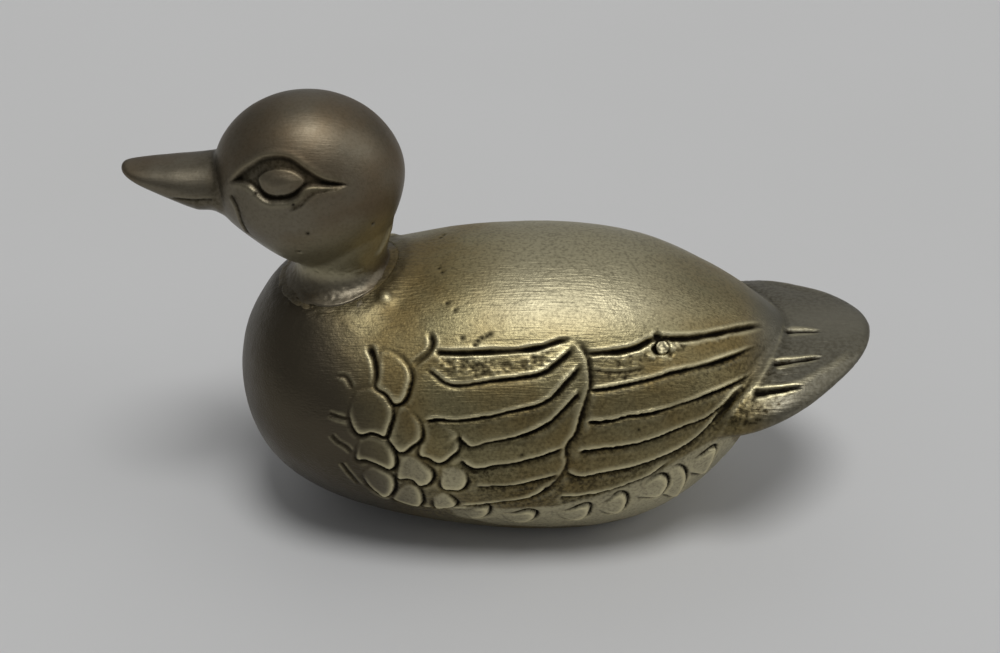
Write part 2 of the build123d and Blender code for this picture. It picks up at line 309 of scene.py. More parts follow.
def closed_grid(rings):
    """Points and faces of a closed skin over rings of points, with flat or pointed ends."""
    count, around = rings.shape[:2]
    points = rings.reshape(-1, 3)
    faces = []
    for i in range(count - 1):
        for j in range(around):
            k = (j + 1) % around
            faces.append((i * around + j, i * around + k, (i + 1) * around + k, (i + 1) * around + j))
    faces.append(tuple(range(around))[::-1])
    faces.append(tuple(range((count - 1) * around, count * around)))
    corners = points[np.array(faces[:-2])] - points.mean(axis=0)
    facing = np.cross(corners[:, 2] - corners[:, 0], corners[:, 3] - corners[:, 1])
    if (facing * corners.mean(axis=1)).sum() < 0:
        faces = [face[::-1] for face in faces]
    return points, faces


def form_of(x, y, z):
    """Closed form over rings of points whose coordinates are given."""
    return closed_grid(np.stack(np.broadcast_arrays(x, y, z), axis=2))


def sectioned(rows, steps=160, around=144):
    """Closed form through upright sections: x, half width, reach up, reach down, height."""
    length = lengths_along(rows[:, :3])
    places = (1 - np.cos(np.linspace(0, math.pi, steps))) / 2
    rows = spline(length, rows, places * length[-1])
    rows[:, 1:4] = np.maximum(rows[:, 1:4], 0.001)
    angle = turn(around)
    reach = np.where(np.sin(angle) > 0, rows[:, 2:3], rows[:, 3:4])
    height = rows[:, 4:5] + reach * np.sin(angle)
    return form_of(rows[:, :1], rows[:, 1:2] * np.cos(angle), height)


def sized(shares, first_x, length, sizes, height, climb):
    """Sections at their real size: x from first_x over the length, the three sizes that the
    half width and the reaches are shares of, and the height from which the line climbs."""
    shares = np.array(shares)
    place = first_x + length * shares[:, :1]
    return np.hstack((place, np.array(sizes) * shares[:, 1:4], height + climb * shares[:, 4:]))


def body_rows(grow=0.0):
    """Sections of the body's egg, larger all round by grow."""
    sizes = (BODY_HALF_WIDTH + grow, BODY_RISE + grow, BODY_DROP + grow)
    length = BODY_LENGTH + 2 * grow
    return sized(BODY_SHARES, BREAST_X - grow, length, sizes, WATERLINE_Z, BODY_RISE)


def tail_rows():
    """Sections of the tail fan."""
    sizes = (TAIL_HALF_WIDTH, TAIL_RISE, TAIL_DROP)
    root_x = TAIL_TIP_X - TAIL_LENGTH
    return sized(TAIL_SHARES, root_x, TAIL_LENGTH, sizes, WATERLINE_Z, TAIL_LENGTH)


def bill_rows():
    """Sections of the bill."""
    sizes = (BILL_HALF_WIDTH, BILL_HALF_HEIGHT, BILL_HALF_HEIGHT)
    root_x = BILL_TIP_X + BILL_LENGTH
    return sized(BILL_SHARES, root_x, -BILL_LENGTH, sizes, BILL_BASE_Z, BILL_LIFT)


def neck_form(steps=60, around=96):
    """Closed form of the neck through level oval sections."""
    rows = np.array(NECK_SHARES)
    rows = spline(rows[:, 0], rows, np.linspace(0, rows[-1, 0], steps))
    angle = turn(around)
    half_length, half_width = NECK_FOOT[0] * rows[:, 2:3], NECK_FOOT[1] * rows[:, 3:4]
    x = NECK_X + NECK_FOOT[0] * rows[:, 1:2] + half_length * np.cos(angle)
    z = SEAM_Z + (SKULL_MIDDLE[2] - SEAM_Z) * rows[:, :1]
    return form_of(x, half_width * np.sin(angle), z)


def skull_form(steps=120, around=144):
    """Closed egg of the skull."""
    up = np.linspace(-math.pi / 2, math.pi / 2, steps)[:, None]
    angle = turn(around)
    flat = np.maximum(np.cos(up), 0.0001)
    points, faces = form_of(flat * np.cos(angle), flat * np.sin(angle), np.sin(up))
    return SKULL_MIDDLE + SKULL_HALF * points, faces


def upright_block(outline, bottom, top):
    """Closed upright form over an outline of level points."""
    return form_of(outline[:, 0], outline[:, 1], np.array(((bottom,), (top,))))


def neck_oval(half_length, half_width, around=72):
    """Level oval outline about the middle of the neck."""
    angle = turn(around)
    return np.stack((NECK_X + half_length * np.cos(angle), half_width * np.sin(angle)), axis=1)


def slot_outline(length, width, around=48):
    """Level outline with round ends on the middle of the underside."""
    angle = np.linspace(-math.pi / 2, math.pi / 2, around)
    end = np.stack((np.cos(angle), np.sin(angle)), axis=1) * width / 2
    ahead = end + (length / 2 - width / 2, 0)
    return np.concatenate((ahead, -ahead)) + (BASE_X, 0)


def new_mesh(name, points, faces):
    """Blender mesh from points and faces."""
    mesh = bpy.data.meshes.new(name)
    mesh.from_pydata(np.asarray(points).tolist(), [], [tuple(face) for face in faces])
    mesh.update()
    return mesh


def new_object(name, mesh):
    """Object with the mesh, in the scene."""
    made = bpy.data.objects.new(name, mesh)
    bpy.context.scene.collection.objects.link(made)
    return made


def evaluated(mesh, kind, **settings):
    """The mesh after one modifier with the given settings."""
    piece = new_object("work", mesh)
    modifier = piece.modifiers.new("work", kind)
    for name, value in settings.items():
        setattr(modifier, name, value)
    graph = bpy.context.evaluated_depsgraph_get()
    result = bpy.data.meshes.new_from_object(piece.evaluated_get(graph))
    bpy.data.objects.remove(piece)
    return result


def points_of(mesh):
    """Points of a mesh as rows."""
    points = np.zeros(len(mesh.vertices) * 3)
    mesh.vertices.foreach_get("co", points)
    return points.reshape(-1, 3)


def faces_of(mesh):
    """Faces of a mesh, each as the numbers of its points."""
    return [tuple(face.vertices) for face in mesh.polygons]


def shape_of(node):
    """Points in millimetres and faces of a CAD node."""
    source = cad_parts[node]
    place = np.array(source.matrix_world)
    points = points_of(source.data) @ place[:3, :3].T + place[:3, 3]
    return points / MM, faces_of(source.data)


def cut_away(mesh, points, faces):
    """The mesh, in metres, less a closed form."""
    cutter = new_object("cutter", new_mesh("cutter", points * MM, faces))
    mesh = evaluated(mesh, "BOOLEAN", operation="DIFFERENCE", solver="MANIFOLD", object=cutter)
    bpy.data.objects.remove(cutter)
    return mesh


def one_skin(forms, grid):
    """Points and square faces of one even skin over closed forms that overlap."""
    points, faces = [], []
    for form_points, form_faces in forms:
        start = sum(len(p) for p in points)
        points.append(form_points)
        faces += [tuple(i + start for i in face) for face in form_faces]
    mesh = new_mesh("forms", np.concatenate(points), faces)
    mesh = evaluated(mesh, "REMESH", mode="VOXEL", voxel_size=grid, adaptivity=0)
    corners = np.zeros(len(mesh.loops), int)
    mesh.loops.foreach_get("vertex_index", corners)
    return points_of(mesh), corners.reshape(-1, 4)


def grain(points, size, seed):
    """Smooth random values from -1 to 1 over space, with lumps of about the given size."""
    table = np.random.default_rng(seed).uniform(-1, 1, GRAIN_TABLE)
    place = points / size
    cell = np.floor(place).astype(np.int64)
    part = place - cell
    part = part * part * (3 - 2 * part)
    total = np.zeros(len(place))
    for corner in range(8):
        step = np.array((corner & 1, corner >> 1 & 1, corner >> 2 & 1))
        mixed = (cell + step) * GRAIN_PRIMES
        key = mixed[:, 0] ^ mixed[:, 1] ^ mixed[:, 2]
        weight = np.prod(np.where(step, part, 1 - part), axis=1)
        total += weight * table[key & (GRAIN_TABLE - 1)]
    return total


def lumpy(points, *layers):
    """Sum of grains, each given by its height, size and seed."""
    return sum(height * grain(points, size, seed) for height, size, seed in layers)


def pixels(points):
    """Where points show in the photograph's frame."""
    away = points - CAMERA_PLACE
    depth = -(away @ CAMERA_BACK)
    across = PHOTO_WIDTH / 2 + FOCAL_PIXELS * (away @ CAMERA_RIGHT) / depth
    down = PHOTO_HEIGHT / 2 - FOCAL_PIXELS * (away @ CAMERA_UP) / depth
    return np.stack((across, down), axis=1)


def ray_through(pixel):
    """The way from the camera through a pixel."""
    right = CAMERA_RIGHT * (pixel[0] - PHOTO_WIDTH / 2)
    down = -CAMERA_UP * (pixel[1] - PHOTO_HEIGHT / 2)
    return right + down - CAMERA_BACK * FOCAL_PIXELS


def to_near(points):
    """Factors that move points of the far side to their mirror images on the near side."""
    return np.where(points[:, 1] > 0, -1.0, 1.0)[:, None] * np.array((0, 1, 0)) + (1, 0, 1)


class Skin:
    """A skin that is carved along its normals, alike on both sides of the duck."""

    def __init__(self, points, faces):
        self.points, self.faces = points, faces
        ring = np.roll(faces, -1, axis=1)
        pairs = np.stack((faces.ravel(), ring.ravel()), axis=1)
        self.pairs = np.unique(np.sort(pairs, axis=1), axis=0)
        self.degree = np.bincount(self.pairs.ravel(), minlength=len(points))

    def mean(self, values):
        """Mean of each point's neighbours."""
        a, b = self.pairs.T
        flat = values.reshape(len(values), -1)
        total = np.stack(
            [
                np.bincount(a, column[b], len(flat)) + np.bincount(b, column[a], len(flat))
                for column in flat.T
            ],
            axis=1,
        )
        return (total / self.degree[:, None]).reshape(values.shape)

    def relax(self, values, rounds, weight=1.0):
        """Values smoothed over the skin, by as much as the weight says at each point."""
        for _ in range(rounds):
            values = values + weight * (self.mean(values) - values)
        return values

    def settle(self):
        """Works out the normals and each point's place in the photograph, mirrored to the
        near side, and starts all heights and shades."""
        count = len(self.points)
        corners = self.points[self.faces]
        facing = np.cross(corners[:, 2] - corners[:, 0], corners[:, 3] - corners[:, 1])
        normal = np.zeros_like(self.points)
        for corner in self.faces.T:
            for axis in range(3):
                normal[:, axis] += np.bincount(corner, facing[:, axis], count)
        self.normal = normal / np.maximum(np.linalg.norm(normal, axis=1), 1e-12)[:, None]
        side = to_near(self.points)
        self.near = self.points * side
        self.pixel = pixels(self.near)
        to_camera = CAMERA_PLACE - self.near
        to_camera /= np.linalg.norm(to_camera, axis=1)[:, None]
        self.faces_camera = ((self.normal * side) * to_camera).sum(axis=1)
        self.tree = BVHTree.FromPolygons(self.points.tolist(), self.faces.tolist())
        self.form, self.lift, self.cut, self.shade, self.dirt_and_shade = np.zeros((5, count))
        self.tones = {}
        self.soft = lumpy(self.near, *CAST_LUMPS)
        self.vary = 1 + lumpy(self.near, STROKE_DEPTH_LUMPS)
        self.ragged = lumpy(self.near, *STROKE_LUMPS)

    def seen(self, pixel):
        """The place on the near side that shows at a pixel, or None."""
        return self.tree.ray_cast(Vector(CAMERA_PLACE), Vector(ray_through(pixel)))[0]

    def about(self, path, reach):
        """Points of the skin near a path in the photograph, and for each its distance from
        the path in millimetres, the side it lies on and how far along the path it is."""
        shown = [(p, self.seen(p)) for p in path]
        path = np.array([p for p, place in shown if place is not None])
        places = np.array([place for p, place in shown if place is not None])
        margin = reach * PIXELS_PER_MM * NEAREST_GROWTH
        low, high = path.min(axis=0) - margin, path.max(axis=0) + margin
        inside = ((self.pixel > low) & (self.pixel < high)).all(axis=1)
        chosen = np.nonzero(inside & (self.faces_camera > LEAST_FACING))[0]
        distance = np.full(len(chosen), np.inf)
        nearest = np.zeros(len(chosen), int)
        for i, place in enumerate(places):
            step = ((self.near[chosen] - place) ** 2).sum(axis=1)
            closer = step < distance
            distance[closer] = step[closer]
            nearest[closer] = i
        distance = np.sqrt(distance)
        keep = distance < reach
        chosen, distance, nearest = chosen[keep], distance[keep], nearest[keep]
        heading = np.gradient(path, axis=0)[nearest]
        offset = self.pixel[chosen] - path[nearest]
        side = np.sign(heading[:, 0] * offset[:, 1] - heading[:, 1] * offset[:, 0])
        return chosen, distance, side, nearest / (len(path) - 1)

    def raise_to(self, chosen, height):
        """Lifts points to at least the height."""
        self.lift[chosen] = np.maximum(self.lift[chosen], height)

    def cut_to(self, chosen, height):
        """Cuts points down to at most the height, which is negative."""
        self.cut[chosen] = np.minimum(self.cut[chosen], height)

    def shade_to(self, chosen, share):
        """Darkens points by at least the given share, with patina and painted shade."""
        self.shade[chosen] = np.maximum(self.shade[chosen], share)


def faded(along, ends):
    """Full along a stroke, and less over the given shares of it at its two ends."""
    return smoothstep(along, 0, ends[0]) * smoothstep(1 - along, 0, ends[1])


def sharp_and_slow(off, share, sharp_reach, slow_reach):
    """1 at zero, and less beyond it: the share of it soon and the rest slowly."""
    return share * hump(off, sharp_reach) + (1 - share) * np.exp(-off / slow_reach)


def edge(skin, points, lip=0.42, depth=1.0, wide=1.1, steep=0.18, ends=(0.04, 0.10), stain_and_shade=1.0):
    """Raised feather edge along a path, with a step down to its right, as the path runs, and
    a slow climb away from the foot of the step, which is darkened with patina and painted shade."""
    chosen, distance, side, along = skin.about(path_of(points), EDGE_REACH * wide)
    off = side * distance + skin.ragged[chosen]
    fading = faded(along, ends) * skin.vary[chosen]
    upper = 1 - smoothstep(off, -steep, steep)
    above = np.maximum(-off, 0) / wide
    below = np.maximum(off, 0) / wide
    skin.raise_to(chosen, fading * lip * sharp_and_slow(above, *CREST) * upper)
    skin.cut_to(chosen, -fading * depth * sharp_and_slow(below, *TROUGH) * (1 - upper))
    skin.shade_to(chosen, fading * stain_and_shade * np.exp(-below / EDGE_PATINA_AND_SHADE) * (1 - upper))


def groove(
    skin, points, depth=0.7, width=0.38, lip=0.1, ends=(0.04, 0.10), taper=0.0, near_only=False
):
    """Chiselled groove along a path, with low burrs on both sides."""
    chosen, distance, _, along = skin.about(path_of(points), GROOVE_REACH * width)
    if near_only:
        near = skin.points[chosen, 1] < 0
        chosen, distance, along = chosen[near], distance[near], along[near]
    fading = faded(along, ends) * skin.vary[chosen]
    wide = width * (1 - taper * along)
    off = np.maximum(distance + skin.ragged[chosen], 0) / wide
    skin.cut_to(chosen, -fading * depth * hump(off))
    skin.raise_to(chosen, fading * lip * hump(off - BURR_PLACE))
    # patina and painted shade darken the groove and its sides
    skin.shade_to(chosen, GROOVE_PATINA_AND_SHADE * fading * hump(off, 2))


def ridge(skin, points, height, width, ends=(0.3, 0.3)):
    """Soft raised line along a path."""
    chosen, distance, _, along = skin.about(path_of(points), RIDGE_REACH * width)
    skin.soft[chosen] += faded(along, ends) * height * hump(distance, width)


def within(pixel, outline):
    """Whether each pixel lies inside a closed outline."""
    inside = np.zeros(len(pixel), bool)
    x, y = pixel.T
    for (x0, y0), (x1, y1) in zip(outline, np.roll(outline, -1, axis=0)):
        if y0 != y1:
            crosses = (y0 > y) != (y1 > y)
            inside ^= crosses & (x < (x1 - x0) * (y - y0) / (y1 - y0) + x0)
    return inside


def outlined(skin, outline, reach):
    """Points about a closed outline and their distance from it, negative outside."""
    path = path_of((*outline, outline[0]))
    chosen, distance, _, _ = skin.about(path, reach)
    inside = within(skin.pixel[chosen], path)
    return chosen, np.where(inside, distance, -distance)


def coarsen(skin, outline, depth, seed):
    """Coarse, pitted face inside a closed outline."""
    chosen, depth_in = outlined(skin, outline, COARSE_REACH)
    bumpy = lumpy(skin.near[chosen], (1, 0.9, seed), (1, 0.5, seed + 1))
    inside = smoothstep(depth_in, -0.4, 0.8)
    skin.soft[chosen] += depth * bumpy * inside
    # patina and painted shade darken the low spots of the coarse face
    skin.shade_to(chosen, inside * smoothstep(-bumpy, -0.2, 0.7))


def scale_feather(skin, outline, height=0.5, depth=0.75, toward=(0.35, 0.94)):
    """Flat scale feather inside a closed outline, with a lip and a groove that are strongest
    on the side that points the given way in the photograph."""
    chosen, depth_in = outlined(skin, outline, SCALE_REACH)
    depth_in = depth_in + skin.ragged[chosen] * 0.7
    off = (skin.pixel[chosen] - np.mean(outline, axis=0)) @ toward
    low = np.clip(0.55 + 0.5 * off / off[depth_in > 0].max(), 0.12, 1)
    lip = 0.25 * hump(depth_in - LIP_INSET, LIP_WIDTH)
    skin.raise_to(chosen, height * low * (0.75 * smoothstep(depth_in, -0.1, LIP_INSET) + lip))
    skin.cut_to(chosen, -depth * low * hump(depth_in + GROOVE_OFFSET, LIP_WIDTH))
    # patina and painted shade darken the gap below the scale's edge, most on its low side
    skin.shade_to(chosen, low * np.exp(-np.maximum(-depth_in, 0) / 0.5) * (depth_in < 0))


def pit(skin, pixel, radius=0.32, depth=0.25):
    """Small round casting pit at a pixel."""
    distance = np.linalg.norm(skin.near - np.array(skin.seen(pixel)), axis=1)
    chosen = np.nonzero(distance < 3 * radius)[0]
    hole = hump(distance[chosen], radius)
    skin.cut_to(chosen, -depth * hole)
    # the pit is painted dark with dirt and painted shade
    skin.dirt_and_shade[chosen] = np.maximum(skin.dirt_and_shade[chosen], hole)


# Shoulder scales, as closed outlines in the photograph
SHOULDER_SCALES = (
    ((380, 351), (388, 352), (397, 356), (405, 363), (410, 371), (411, 380), (408, 391),
     (402, 402), (394, 404), (388, 396), (377, 388), (378, 371)),
    ((356, 392), (375, 389), (383, 393), (389, 400), (392, 409), (392, 419), (389, 428),
     (385, 437), (379, 435), (370, 433), (361, 435), (352, 425), (350, 405)),
    ((401, 405), (408, 409), (415, 416), (420, 423), (422, 431), (420, 441), (413, 446),
     (404, 452), (399, 452), (394, 447), (389, 441), (392, 426), (397, 414)),
    ((422, 422), (431, 422), (442, 423), (448, 427), (458, 434), (459, 441), (458, 451),
     (452, 456), (444, 462), (435, 462), (428, 458), (420, 456), (421, 442)),
    ((360, 437), (371, 435), (382, 437), (389, 444), (394, 453), (396, 460), (394, 468),
     (388, 469), (379, 465), (371, 462), (364, 460), (357, 460), (356, 454)),
    ((401, 458), (408, 456), (417, 459), (427, 467), (433, 474), (430, 482), (424, 485),
     (419, 485), (413, 480), (406, 479), (398, 479), (398, 470)),
    ((443, 469), (453, 467), (464, 472), (467, 481), (463, 488), (453, 490), (442, 488),
     (441, 479)),
    ((362, 474), (371, 467), (382, 470), (392, 476), (395, 484), (392, 493), (387, 496),
     (376, 491), (368, 484)),
    ((398, 490), (407, 484), (417, 487), (422, 495), (421, 504), (412, 504), (402, 502),
     (394, 499)),
    ((434, 497), (442, 492), (450, 496), (457, 504), (447, 507), (434, 506)),
)

# Faint chisel marks in front of the scales, others high on the back behind the neck, and
# the two curved marks over the scales
FAINT_MARKS = (
    ((337, 377), (343, 376), (350, 384), (352, 389)),
    ((328, 413), (338, 417), (348, 419)),
    ((331, 434), (337, 441), (345, 446), (352, 453)),
    ((341, 462), (350, 474), (360, 485)),
)
FAR_MARKS = (
    ((424, 240), (430, 235), (438, 232)),
    ((436, 239), (443, 233), (452, 230)),
    ((450, 236), (456, 231), (464, 229)),
)
CURVED_MARKS = (
    ((368, 344), (373, 355), (376, 368), (376, 380), (373, 390)),
    ((428, 331), (432, 340), (431, 348), (426, 355), (417, 362), (411, 369)),
)

# Lower edges of the covert feathers, from the shoulder to the rear
COVERT_EDGES = (
    ((427, 369), (434, 372), (442, 379), (449, 383), (465, 384), (486, 381), (509, 378),
     (528, 375), (544, 371), (555, 363), (567, 353), (574, 344)),
    ((424, 420), (439, 419), (456, 420), (477, 418), (499, 414), (519, 409), (535, 405),
     (548, 399), (560, 388), (570, 377), (578, 367), (583, 361)),
    ((458, 434), (463, 441), (468, 446), (484, 444), (503, 440), (522, 435), (541, 427),
     (554, 418), (567, 405), (576, 395), (582, 386)),
    ((461, 460), (466, 465), (474, 469), (490, 467), (509, 464), (528, 460), (548, 454),
     (558, 450), (565, 446)),
    ((476, 487), (497, 486), (516, 485), (535, 481), (551, 477), (560, 474)),
    ((463, 505), (481, 504), (499, 502), (516, 500), (531, 497), (541, 492), (549, 485)),
)
COVERT_TOP = ((435, 352), (458, 353), (484, 352), (509, 351), (531, 349), (548, 345),
              (560, 341), (572, 340))

# The first covert feather, whose face is left coarse
COARSE_BAND = ((434, 356), (470, 357), (530, 353), (560, 346), (552, 362), (528, 372), (486, 378),
               (452, 380), (438, 372))

# Rough strip along the top of the long feathers
COARSE_STRIP = ((598, 354), (640, 350), (664, 343), (700, 341), (740, 332), (722, 342), (690, 350),
                (650, 362), (604, 366))

# Rough metal where the wing meets the root of the tail
COARSE_RUMP = ((745, 395), (765, 388), (790, 392), (775, 410), (757, 424), (738, 432), (728, 428))

# Rear edge of the coverts, from the top down, with the primaries to its right
COVERT_REAR = ((574, 340), (584, 352), (588, 367), (589, 385), (584, 405), (579, 421),
               (576, 432), (569, 441), (565, 452), (566, 464), (560, 476), (549, 488), (538, 497))

# Long feathers behind them: the groove on top, and the lower edges
PRIMARY_TOP = ((583, 354), (598, 353), (621, 351), (640, 346), (649, 341), (658, 338),
               (670, 338), (687, 338), (713, 334), (744, 328), (767, 324))
PRIMARY_SHORT = ((586, 367), (606, 371), (629, 370), (646, 367))
PRIMARY_EDGES = (
    ((589, 390), (606, 388), (629, 383), (652, 378), (675, 371), (698, 366), (728, 357),
     (751, 348), (764, 344)),
    ((586, 422), (606, 421), (629, 416), (652, 412), (675, 406), (698, 398), (721, 389),
     (744, 378), (760, 367)),
    ((577, 452), (606, 448), (629, 445), (652, 439), (670, 432), (690, 424), (705, 418),
     (722, 406), (736, 392), (747, 380), (757, 369)),
    ((565, 469), (572, 475), (598, 474), (629, 468), (659, 458), (682, 447), (698, 436),
     (713, 421), (727, 404), (741, 390), (753, 380)),
    ((560, 497), (583, 495), (611, 490), (633, 482), (652, 474), (664, 465), (673, 459)),
)

# Small lobed feathers along the lower edge of the wing, as closed outlines
HEM_LOBES = (
    ((681, 465), (693, 473), (701, 473), (710, 462), (715, 447), (702, 455)),
    ((661, 493), (674, 495), (683, 484), (685, 471), (678, 466), (669, 474), (669, 484)),
    ((634, 489), (648, 482), (664, 476), (667, 478), (666, 486), (658, 495), (645, 497), (635, 495)),
    ((595, 505), (610, 500), (622, 493), (626, 495), (626, 503), (619, 511), (610, 513), (600, 510)),
    ((557, 511), (571, 510), (584, 505), (589, 505), (589, 511), (581, 518), (568, 519), (560, 516)),
    ((501, 513), (517, 513), (533, 511), (536, 513), (530, 519), (517, 521), (506, 518)),
    ((462, 507), (476, 509), (489, 508), (488, 513), (480, 517), (468, 516)),
)
HEM_BAND = ((446, 506), (500, 509), (556, 506), (590, 499), (628, 486), (662, 470), (692, 452),
            (714, 440), (730, 436), (738, 446), (704, 482), (672, 502), (636, 516), (600, 524),
            (550, 527), (500, 525), (456, 516))
WING_HEM = ((389, 497), (415, 505), (453, 508), (480, 510))

# Where the wings and the back end over the tail, and the grooves and ridge of the tail
RUMP_EDGE = ((735, 277), (745, 290), (760, 303), (775, 309), (785, 320), (784, 335),
             (775, 357), (764, 377), (750, 394), (736, 411), (724, 430), (714, 447))
TAIL_GROOVES = (
    ((784, 331), (806, 331), (826, 332)),
    ((772, 363), (800, 360), (826, 356)),
    ((753, 393), (780, 390), (807, 387)),
)
TAIL_RIDGE = ((770, 396), (795, 385), (820, 373), (843, 358), (860, 340))

# Where the core plug of the near wing shows
PIN_PIXEL = (661, 347)

# Eye, mouth and face
EYE_SOCKET = ((230, 182), (241, 170), (251, 163), (262, 157), (273, 155), (289, 157), (302, 165),
              (315, 174), (328, 180), (347, 185), (332, 188), (321, 188), (310, 188), (304, 190),
              (299, 196), (291, 202), (277, 204), (264, 202), (256, 195), (248, 187))
EYEBALL = ((256, 178), (263, 172), (272, 169), (284, 169), (296, 173), (304, 182), (299, 189),
           (289, 195), (278, 197), (266, 195), (259, 188))
LOWER_LID = ((289, 213), (302, 206), (312, 197), (328, 192), (344, 188))
MOUTH_LINE = ((146, 189), (156, 194), (167, 197), (190, 199), (213, 199))
BILL_ROOT = ((206, 149), (212, 158), (216, 172), (217, 186), (216, 200), (214, 213))
CHIN_LINE = ((285, 262), (215, 214))
NAPE_LINE = ((406, 195), (389, 247))
NAPE_RIDGE = ((394, 213), (388, 232), (381, 248), (371, 263))
CHEEK_CREASE = ((229, 195), (236, 207), (240, 220), (247, 233))
HEAD_PITS = ((293, 205), (308, 234), (373, 224), (299, 252), (255, 194))
BODY_PITS = ((439, 268), (442, 272), (455, 310), (478, 341), (482, 338), (487, 336), (475, 345),
             (490, 334), (462, 338), (447, 303), (639, 430), (625, 378), (522, 455))

# Small swelling on the back beside the neck: its middle, reach and height
SWELLING_PIXEL, SWELLING_PIXELS, SWELLING_HEIGHT = (386, 299), (7, 6), 0.5

# Tones over the photograph, each from where it starts to where it is full: a painted highlight
# and paler brass on the upper back, a breast that is dark with patina and with a painted reflection
# of the dim room, painted shade that darkens the flank and hem towards the bottom, darkening at
# the upper rear, and painted light low on the head. The edges of the dark breast and the shaded
# flank slant through BREAST_LEVEL and FLANK_MIDDLE.
SLANT = 0.35
PAINTED_HIGHLIGHT_ACROSS, PAINTED_HIGHLIGHT_FADING, PAINTED_HIGHLIGHT_DOWN = (440, 540), (620, 720), (300, 350)
DARK_ACROSS, BREAST_LEVEL = (300, 400), 320
FLANK_DOWN, FLANK_MIDDLE, FLANK_SHADE = (340, 440), 500, 0.2
HEM_DOWN, HEM_SHADE = (445, 490), 0.45
REAR_ACROSS, REAR_DOWN, REAR_DARKENING = (640, 740), (322, 350), 0.3
HEAD_PAINTED_LIGHT_DOWN, HEAD_PAINTED_LIGHT_MIDDLE, HEAD_SLANT = (225, 275), 300, 0.3
PALE_SCALES = SHOULDER_SCALES[5:]

# Where the tail turns grey, in millimetres along the duck
GREY_X = (38, 46)


def carve_wings(skin):
    """Cuts the feathers of the wings."""
    for outline in SHOULDER_SCALES:
        scale_feather(skin, outline)
    for mark in FAINT_MARKS:
        groove(skin, mark, depth=0.35, width=0.3)
    for mark in CURVED_MARKS:
        groove(skin, mark, depth=0.6, width=0.34, lip=0.08, ends=(0.2, 0.3))
    groove(skin, COVERT_TOP, depth=0.8, width=0.3, lip=0.08)
    for line in COVERT_EDGES:
        edge(skin, line)
    edge(skin, COVERT_REAR[::-1], lip=0.16, depth=0.8)
    groove(skin, PRIMARY_TOP, depth=0.85, width=0.36, lip=0.08)
    edge(skin, PRIMARY_SHORT, lip=0.15, depth=0.3)
    for line in PRIMARY_EDGES:
        edge(skin, line, ends=(0.03, 0.2))
    for outline in HEM_LOBES:
        scale_feather(skin, outline, height=0.6, depth=0.9, toward=(0.9, 0.4))
    edge(skin, WING_HEM, lip=0.25, depth=0.3)
    for mark in FAR_MARKS:
        groove(skin, mark, depth=0.4, width=0.35)


def carve_tail(skin):
    """Cuts the tail's grooves and the edge where the wings end over it."""
    ends, soft_step = (0.1, 0.35), 0.6
    edge(skin, RUMP_EDGE[::-1], lip=0.12, depth=0.25, wide=1.5, steep=soft_step, ends=ends, stain_and_shade=0.4)
    for line in TAIL_GROOVES:
        groove(skin, line, depth=0.85, width=0.65, taper=0.8, ends=(0.08, 0.3), near_only=True)
    ridge(skin, TAIL_RIDGE, height=0.35, width=1.5)


def carve_pin_hole(skin):
    """Ragged hole round the near wing's core plug and the one on the far side."""
    away = np.linalg.norm(skin.near - np.array(skin.seen(PIN_PIXEL)), axis=1)
    rim = PIN_RADIUS + PIN_HOLE_MARGIN + lumpy(skin.near, PIN_HOLE_LUMPS)
    hole = 1 - smoothstep(away, rim - 0.25, rim + 0.25)
    skin.cut = np.minimum(skin.cut, -PIN_HOLE_DEPTH * hole)
    # the hole is painted dark with dirt and painted shade
    skin.dirt_and_shade = np.maximum(skin.dirt_and_shade, hole)
    skin.soft += lumpy(skin.near, PIN_RIM_LUMPS) * (1 - smoothstep(away, rim + 0.4, rim + 2.2))


def raise_collar(skin):
    """Lifts the body softly round the neck's foot, and gives how rough it is at each point."""
    share = np.hypot(
        (skin.points[:, 0] - NECK_X) / NECK_FOOT[0], skin.points[:, 1] / NECK_FOOT[1]
    )
    beyond = np.maximum((share - 1) * NECK_FOOT.mean() - BRAZE_WIDTH, 0)
    high = smoothstep(skin.points[:, 2] - WATERLINE_Z, *COLLAR_CLIMB)
    skin.form = COLLAR * BRAZE_HEIGHT * high * hump(beyond, COLLAR_REACH)
    rough = high * np.exp(-beyond / COLLAR_ROUGH_REACH)
    skin.soft += rough * lumpy(skin.near, COLLAR_LUMPS)
    return rough


def tone_body(skin, rough):
    """Says how pale, dark, darkened and grey the body is at each point, with painted light among
    these: painted highlights and reflections in the pale parts, a painted reflection in the dark
    breast, and painted shade in the darkening.
    """
    x, y = skin.pixel.T
    # painted highlight, with paler brass, on the upper back where the overhead lamp reflects
    lit = smoothstep(x, *PAINTED_HIGHLIGHT_ACROSS) * (1 - 0.7 * smoothstep(x, *PAINTED_HIGHLIGHT_FADING))
    # the hem band is painted paler as a reflection of the floor, and the lower shoulder scales are
    # paler
    pale_parts = [within(skin.pixel, outline) for outline in (HEM_BAND, *PALE_SCALES)]
    parts = skin.relax(1.0 * np.max(pale_parts, axis=0), 4, 0.5)
    pale_and_painted_light = np.maximum(lit * (1 - smoothstep(y, *PAINTED_HIGHLIGHT_DOWN)), parts)
    # breast darker with patina and with a painted reflection of the dim room
    breast = 1 - smoothstep(x + SLANT * (BREAST_LEVEL - y), *DARK_ACROSS)
    # painted shade darkens the flank and the hem towards the bottom
    flank = FLANK_SHADE * smoothstep(y + SLANT * (x - FLANK_MIDDLE), *FLANK_DOWN)
    hem = HEM_SHADE * smoothstep(y, *HEM_DOWN)
    # the upper rear of the wing is darkened
    rear = REAR_DARKENING * smoothstep(x, *REAR_ACROSS) * smoothstep(y, *REAR_DOWN)
    skin.tones["pale_and_painted_light"] = pale_and_painted_light
    skin.tones["dark"] = np.maximum(breast, 0.6 * rough)
    skin.tones["stain_and_shade"] = np.clip(skin.shade + (flank + hem + rear) * (1 - pale_and_painted_light), 0, 1)
    skin.tones["grey"] = smoothstep(skin.points[:, 0], *GREY_X)


